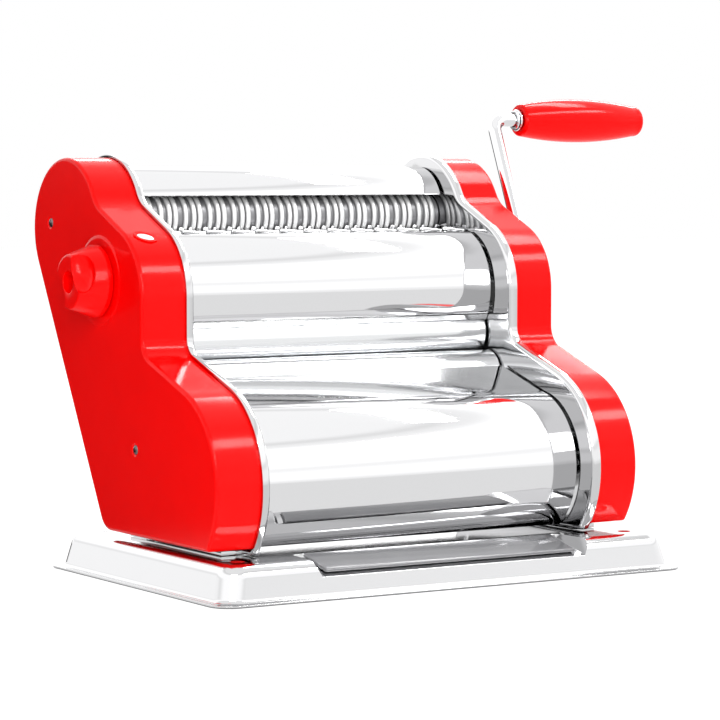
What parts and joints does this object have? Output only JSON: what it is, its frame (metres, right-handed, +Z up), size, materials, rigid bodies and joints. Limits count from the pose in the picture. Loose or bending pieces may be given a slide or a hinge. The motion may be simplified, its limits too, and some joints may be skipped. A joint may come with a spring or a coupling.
{
  "type": "pasta machine",
  "caption": "Hand cranked pasta machine: smooth rollers with a thickness knob and a ribbed noodle cutter between wavy red covers on a polished steel tray.",
  "frame": {"origin": "centre of the bounding box's bottom face, on the surface the feet stand on", "axes": "+X along the rollers towards the crank, +Y towards the overhanging back, +Z up"},
  "size_m": [0.4148, 0.2389, 0.2602],
  "materials": {
    "polished_steel": "mirror polished stainless",
    "satin_steel": "satin",
    "red_plastic": "high gloss",
    "bronze": "machined sintered bronze",
    "black_rubber": "matt",
    "smoked_plastic": "gloss smoked",
    "white_plastic": "satin nylon"
  },
  "bodies": {
    "frame": {"base_tray": "polished_steel", "inlay_plate": "smoked_plastic", "rubber_foot_1": "black_rubber", "rubber_foot_2": "black_rubber", "rubber_foot_3": "black_rubber", "rubber_foot_4": "black_rubber", "frame_bolt_1": "satin_steel", "frame_bolt_2": "satin_steel", "frame_bolt_3": "satin_steel", "frame_bolt_4": "satin_steel", "side_plate_left": "polished_steel", "side_plate_right": "polished_steel", "side_cover_left": "red_plastic", "side_cover_right": "red_plastic", "bearing_post": "satin_steel", "cover_screw_1": "satin_steel", "cover_screw_2": "satin_steel", "cover_screw_3": "satin_steel", "cover_screw_4": "satin_steel", "tie_rod_1": "satin_steel", "tie_rod_2": "satin_steel", "tie_rod_3": "satin_steel", "lower_guard": "polished_steel", "middle_guard": "polished_steel", "upper_guard": "polished_steel", "comb_front": "polished_steel", "comb_rear": "polished_steel", "scraper_upper": "polished_steel", "scraper_lower": "polished_steel", "rear_panel_lower": "polished_steel", "rear_panel_upper": "polished_steel", "roller_bush_left": "bronze", "roller_bush_right": "bronze", "front_cutter_bush_left": "bronze", "front_cutter_bush_right": "bronze", "rear_cutter_bush_right": "bronze", "idler_axle": "satin_steel", "block_guide_left": "satin_steel", "block_guide_right": "satin_steel"},
    "drive": {"lower_roller": "polished_steel", "lower_roller_gear": "satin_steel", "drive_gear": "satin_steel"},
    "crank": {"crank_rod": "polished_steel", "grip_collar": "polished_steel"},
    "grip": {"crank_grip": "red_plastic"},
    "carriage": {"bearing_block_left": "bronze", "bearing_block_right": "bronze"},
    "upper_roller": {"upper_roller": "polished_steel", "upper_roller_gear": "satin_steel"},
    "idler": {"idler_gear": "white_plastic"},
    "front_cutter": {"cutter_front": "polished_steel", "cutter_gear": "satin_steel", "cutter_pair_gear_front": "satin_steel"},
    "rear_cutter": {"cutter_rear": "polished_steel", "cutter_pair_gear_rear": "satin_steel"},
    "regulator": {"regulator_shaft": "satin_steel", "number_wheel": "white_plastic", "regulator_knob": "red_plastic", "knob_screw": "satin_steel"}
  },
  "joints": [
    {"name": "crank_turn", "type": "hinge", "parent": "frame", "child": "drive", "pos_m": [0, 0.00765, 0.1015], "axis": [1, 0, 0], "continuous": true},
    {"name": "crank_pull", "type": "slide", "parent": "drive", "child": "crank", "axis": [1, 0, 0], "range_m": [0, 0.014]},
    {"name": "grip_spin", "type": "hinge", "parent": "crank", "child": "grip", "pos_m": [0, 0.08571, 0.24709], "axis": [1, 0, 0], "continuous": true},
    {"name": "knob_turn", "type": "hinge", "parent": "frame", "child": "regulator", "pos_m": [0, 0.03683, 0.15769], "axis": [1, 0, 0], "range_deg": [0, 270]},
    {"name": "gap_slide", "type": "slide", "parent": "frame", "child": "carriage", "axis": [0, 0.5329, 0.8462], "range_m": [0, 0.003]},
    {"name": "upper_roller_turn", "type": "hinge", "parent": "carriage", "child": "upper_roller", "pos_m": [0, 0.02257, 0.12519], "axis": [1, 0, 0], "continuous": true},
    {"name": "idler_turn", "type": "hinge", "parent": "frame", "child": "idler", "pos_m": [0, 0.04954, 0.14103], "axis": [1, 0, 0], "continuous": true},
    {"name": "front_cutter_turn", "type": "hinge", "parent": "frame", "child": "front_cutter", "pos_m": [0, 0.07105, 0.191], "axis": [1, 0, 0], "continuous": true},
    {"name": "rear_cutter_turn", "type": "hinge", "parent": "frame", "child": "rear_cutter", "pos_m": [0, 0.09629, 0.18812], "axis": [1, 0, 0], "continuous": true}
  ],
  "couplings": [
    {"joint": "knob_turn", "follows": "gap_slide", "rad_per_m": 1570.8},
    {"joint": "upper_roller_turn", "follows": "crank_turn", "ratio": -1},
    {"joint": "idler_turn", "follows": "crank_turn", "ratio": -0.71429},
    {"joint": "front_cutter_turn", "follows": "crank_turn", "ratio": 1.1538},
    {"joint": "rear_cutter_turn", "follows": "crank_turn", "ratio": -1.1538}
  ]
}
